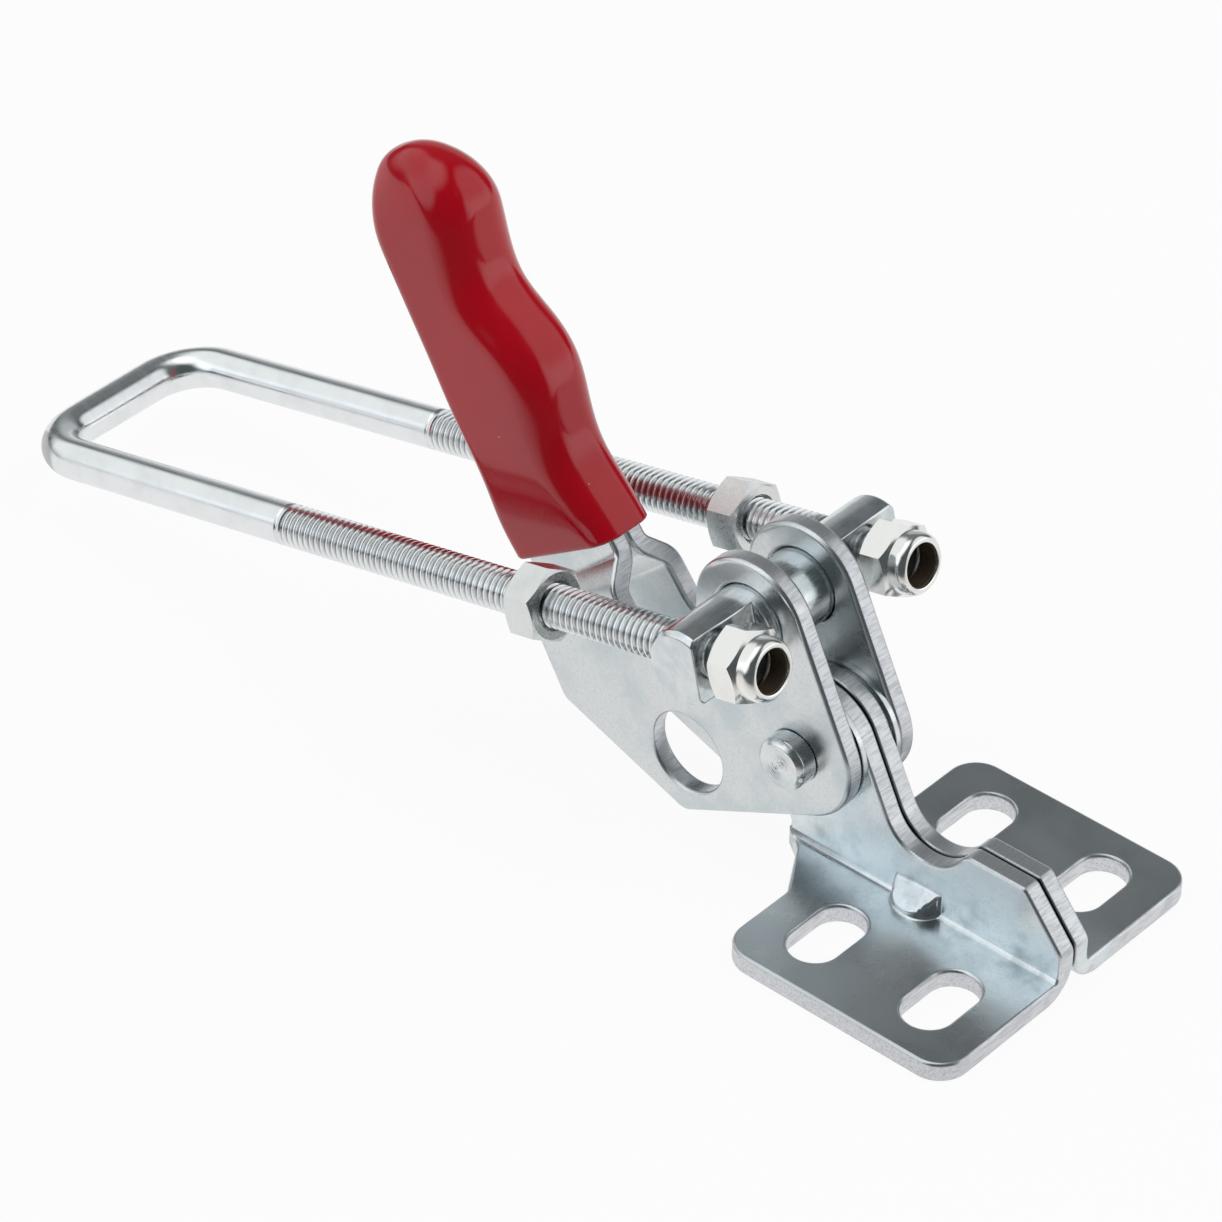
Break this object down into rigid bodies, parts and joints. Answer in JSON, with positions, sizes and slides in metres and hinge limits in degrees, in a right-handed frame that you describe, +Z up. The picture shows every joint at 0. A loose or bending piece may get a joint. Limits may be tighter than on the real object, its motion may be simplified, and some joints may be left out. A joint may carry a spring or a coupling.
{
  "type": "adjustable toggle latch",
  "caption": "Over-centre toggle latch: slotted base, two-plate handle with a moulded grip, and an adjustable U-bolt that hooks a catch and draws it shut.",
  "frame": {"origin": "centre of the four mounting slots, on the underside of the base", "axes": "+X across the base, along the slots; +Y towards the hook end of the U-bolt; +Z up from the mounting surface"},
  "size_m": [0.07, 0.2368, 0.1079],
  "materials": {
    "zinc_plated_steel": "bright zinc plate, satin",
    "grip_plastic": "glossy dark red",
    "nylon": "translucent dark brown"
  },
  "bodies": {
    "base": {"base_plate_left": "zinc_plated_steel", "base_plate_right": "zinc_plated_steel", "pivot_rivet": "zinc_plated_steel", "pivot_washer_left": "zinc_plated_steel", "pivot_washer_right": "zinc_plated_steel"},
    "handle": {"handle_plate_left": "zinc_plated_steel", "handle_plate_right": "zinc_plated_steel", "grip": "grip_plastic"},
    "trunnion": {"trunnion": "zinc_plated_steel"},
    "u_bolt": {"u_bolt": "zinc_plated_steel"},
    "jam_nut_left": {"jam_nut_left": "zinc_plated_steel"},
    "jam_nut_right": {"jam_nut_right": "zinc_plated_steel"},
    "lock_nut_left": {"lock_nut_left": "zinc_plated_steel", "nylon_insert_left": "nylon"},
    "lock_nut_right": {"lock_nut_right": "zinc_plated_steel", "nylon_insert_right": "nylon"}
  },
  "joints": [
    {"name": "lever_pivot", "type": "hinge", "parent": "base", "child": "handle", "pos_m": [0, 0.0307, 0.0266], "axis": [1, 0, 0], "range_deg": [-0.5, 128.5]},
    {"name": "trunnion_swing", "type": "hinge", "parent": "handle", "child": "trunnion", "pos_m": [0, 0.042, 0.0497], "axis": [1, 0, 0], "range_deg": [-115.5, 0.6]},
    {"name": "bolt_slide", "type": "slide", "parent": "trunnion", "child": "u_bolt", "axis": [0, -0.9736, 0.2284], "range_m": [0, 0.006]},
    {"name": "lock_nut_left_turn", "type": "hinge", "parent": "trunnion", "child": "lock_nut_left", "pos_m": [-0.02, 0.042, 0.0497], "axis": [0, 0.9736, -0.2284], "range_deg": [0, 1540]},
    {"name": "lock_nut_right_turn", "type": "hinge", "parent": "trunnion", "child": "lock_nut_right", "pos_m": [0.02, 0.042, 0.0497], "axis": [0, 0.9736, -0.2284], "range_deg": [0, 1540]},
    {"name": "jam_nut_left_travel", "type": "slide", "parent": "u_bolt", "child": "jam_nut_left", "axis": [0, 0.9736, -0.2284], "range_m": [-0.021, 0.06]},
    {"name": "jam_nut_right_travel", "type": "slide", "parent": "u_bolt", "child": "jam_nut_right", "axis": [0, 0.9736, -0.2284], "range_m": [-0.009, 0.072]}
  ],
  "couplings": [
    {"joint": "trunnion_swing", "follows": "lever_pivot", "ratio": -0.8973},
    {"joint": "lock_nut_left_turn", "follows": "bolt_slide", "rad_per_m": 4453},
    {"joint": "lock_nut_right_turn", "follows": "bolt_slide", "rad_per_m": 4453}
  ]
}
